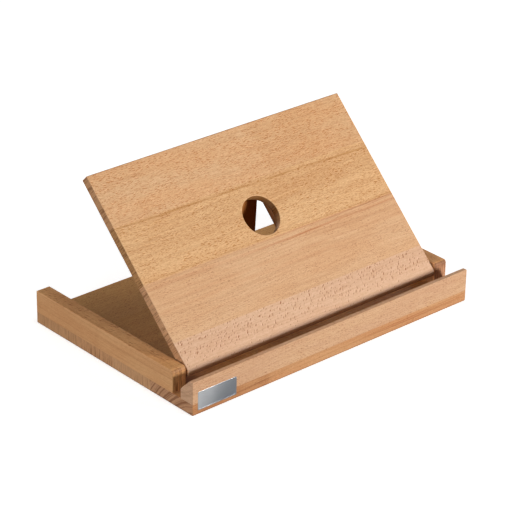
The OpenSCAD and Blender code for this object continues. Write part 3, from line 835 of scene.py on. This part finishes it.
bm = bmesh.new()
head_z = -T2 - CLEAT_T
for x, u in SCREW_XU:
    screw_mesh(bm, x, u, head_z)
bmesh.ops.recalc_face_normals(bm, faces=bm.faces)
me = bpy.data.meshes.new("wood_screws")
bm.to_mesh(me)
bm.free()
o = bpy.data.objects.new("wood_screws", me)
bpy.context.scene.collection.objects.link(o)
cut(o, [c for x, u in SCREW_XU for c in cross_cutter(x, u, head_z)])
piece(o, "cleat_screws", "panel", steel("steel_screw", tint=(0.66, 0.63, 0.52, 1), rough=0.34), PANEL_M)

# label plate: blank, soft corners, a shallow raised rim
lo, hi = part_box("label_plate")
x0, x1, z0, z1 = lo.x / MM, hi.x / MM, lo.z / MM, hi.z / MM
yf, yb = lo.y / MM, hi.y / MM
bm = bmesh.new()


def round_rect(inset, y):
    pts = []
    r = max(0.9 - inset, 0.15)
    for cx, cz, a0 in ((x1 - inset - r, z1 - inset - r, 0), (x0 + inset + r, z1 - inset - r, 90),
                       (x0 + inset + r, z0 + inset + r, 180), (x1 - inset - r, z0 + inset + r, 270)):
        for k in range(7):
            a = math.radians(a0 + 15 * k)
            pts.append(bm.verts.new(Vector((cx + r * math.cos(a), y, cz + r * math.sin(a))) * MM))
    return pts


rings = [round_rect(0, yb), round_rect(0, yf + 0.10), round_rect(0.04, yf + 0.04), round_rect(0.14, yf),
         round_rect(0.70, yf), round_rect(0.78, yf + 0.02), round_rect(0.84, yf + 0.06)]
for r0, r1 in zip(rings, rings[1:]):
    for k in range(len(r0)):
        bm.faces.new((r0[k], r0[(k + 1) % len(r0)], r1[(k + 1) % len(r0)], r1[k]))
bm.faces.new(rings[0])
bm.faces.new(rings[-1])
bmesh.ops.recalc_face_normals(bm, faces=bm.faces)
me = bpy.data.meshes.new("label_foil")
bm.to_mesh(me)
bm.free()
o = bpy.data.objects.new("label_foil", me)
bpy.context.scene.collection.objects.link(o)
piece(o, "label_plate", "base", label_metal("label_foil", lo, hi))

# carried CAD nodes: hidden fasteners keep their exact shape
steel_m = steel("steel_pin")
dowel_m = beech("beech_dowel", base=srgb(220, 180, 136), seed=21.3, axes="zxy", flecks=flecks(0.5))
for n in ("left_pivot_pin", "right_pivot_pin", "prop_pin"):
    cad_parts[n].data.materials.clear()
    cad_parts[n].data.materials.append(steel_m)
for n in ("left_rail_dowels", "right_rail_dowels", "lip_dowels"):
    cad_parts[n].data.materials.clear()
    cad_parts[n].data.materials.append(dowel_m)

# ---------------------------------------------------------------- stage
bm = bmesh.new()
bm.faces.new([bm.verts.new((x, y, -0.0002)) for x, y in ((-8, -8), (8, -8), (8, 8), (-8, 8))])
me = bpy.data.meshes.new("floor")
bm.to_mesh(me)
bm.free()
floor = bpy.data.objects.new("floor", me)
bpy.context.scene.collection.objects.link(floor)
T = Tree("floor_white")
T.bsdf.inputs["Base Color"].default_value = (0.86, 0.86, 0.86, 1)
T.bsdf.inputs["Roughness"].default_value = 0.9
T.bsdf.inputs["Specular IOR Level"].default_value = 0.05
T.bsdf.inputs["Emission Color"].default_value = (1, 1, 1, 1)
T.bsdf.inputs["Emission Strength"].default_value = FLOOR_GLOW
me.materials.append(T.m)
floor.visible_diffuse = False
floor.visible_glossy = False
floor.visible_transmission = False


def light(name, az, el, power, size, dist=2.2, colour=(1, 1, 1)):
    """A soft disk aimed at the stand. az is 0 in front and positive to the right, el is its height; both in degrees."""
    a, e = math.radians(az), math.radians(el)
    way = Vector((math.sin(a) * math.cos(e), -math.cos(a) * math.cos(e), math.sin(e)))
    aim = Vector((0, 0, 0.06))
    d = bpy.data.lights.new(name, "AREA")
    d.shape = "DISK"
    d.size = size
    d.energy = power
    d.color = colour
    o = bpy.data.objects.new(name, d)
    o.location = aim + way * dist
    o.rotation_mode = "QUATERNION"
    o.rotation_quaternion = (-way).to_track_quat("-Z", "Y")
    o.visible_camera = False
    bpy.context.scene.collection.objects.link(o)
    return o


for name, az, el, power, size in LIGHTS:
    light(name, az, el, power, size)

world = bpy.data.worlds.new("studio")
bpy.context.scene.world = world
world.use_nodes = True
wt = world.node_tree
wt.nodes.clear()
w_out = wt.nodes.new("ShaderNodeOutputWorld")
w_bg = wt.nodes.new("ShaderNodeBackground")
w_co = wt.nodes.new("ShaderNodeTexCoord")
w_sep = wt.nodes.new("ShaderNodeSeparateXYZ")
w_ramp = wt.nodes.new("ShaderNodeMapRange")
w_path = wt.nodes.new("ShaderNodeLightPath")
w_max = wt.nodes.new("ShaderNodeMath")
w_max.operation = "MAXIMUM"
wt.links.new(w_co.outputs["Generated"], w_sep.inputs[0])
wt.links.new(w_sep.outputs[2], w_ramp.inputs[0])
for i, v in ((1, -0.10), (2, 0.05), (3, WORLD_LOW), (4, WORLD_HIGH)):
    w_ramp.inputs[i].default_value = v
wt.links.new(w_ramp.outputs[0], w_max.inputs[0])
wt.links.new(w_path.outputs["Is Camera Ray"], w_max.inputs[1])
wt.links.new(w_max.outputs[0], w_bg.inputs[1])
wt.links.new(w_bg.outputs[0], w_out.inputs[0])

sc = bpy.context.scene
sc.view_settings.view_transform = "Standard"
sc.view_settings.look = "None"
sc.view_settings.exposure = 0.0
sc.view_settings.gamma = 1.0

# ---------------------------------------------------------------- camera
K = 300.0 / 330.0
az, el, roll = math.radians(41.94357523), math.radians(26.51128312), math.radians(1.07515688)
tx, ty, tz = -6.88267059, 5.49412705, 2099.92820678
back = Vector((-math.sin(az) * math.cos(el), -math.cos(az) * math.cos(el), math.sin(el)))
fw = -back
right = fw.cross(Vector((0, 0, 1))).normalized()
up = right.cross(fw)
r_ = right * math.cos(roll) + up * math.sin(roll)
u_ = -right * math.sin(roll) + up * math.cos(roll)
c0 = Vector((165.0, 120.0, 60.0))
eye = (c0 - r_ * tx - u_ * ty - fw * tz) * K + Vector((-HALF, FRONT, 0))
cam_d = bpy.data.cameras.new("camera")
cam_d.sensor_width = 36.0
cam_d.lens = 36.0 * 2315.0364342 / 509.0
cam_d.clip_start, cam_d.clip_end = 0.05, 50
cam = bpy.data.objects.new("camera", cam_d)
cam.matrix_world = Matrix((
    (r_.x, u_.x, -fw.x, eye.x * MM),
    (r_.y, u_.y, -fw.y, eye.y * MM),
    (r_.z, u_.z, -fw.z, eye.z * MM),
    (0, 0, 0, 1),
))
bpy.context.scene.collection.objects.link(cam)
bpy.context.scene.camera = cam
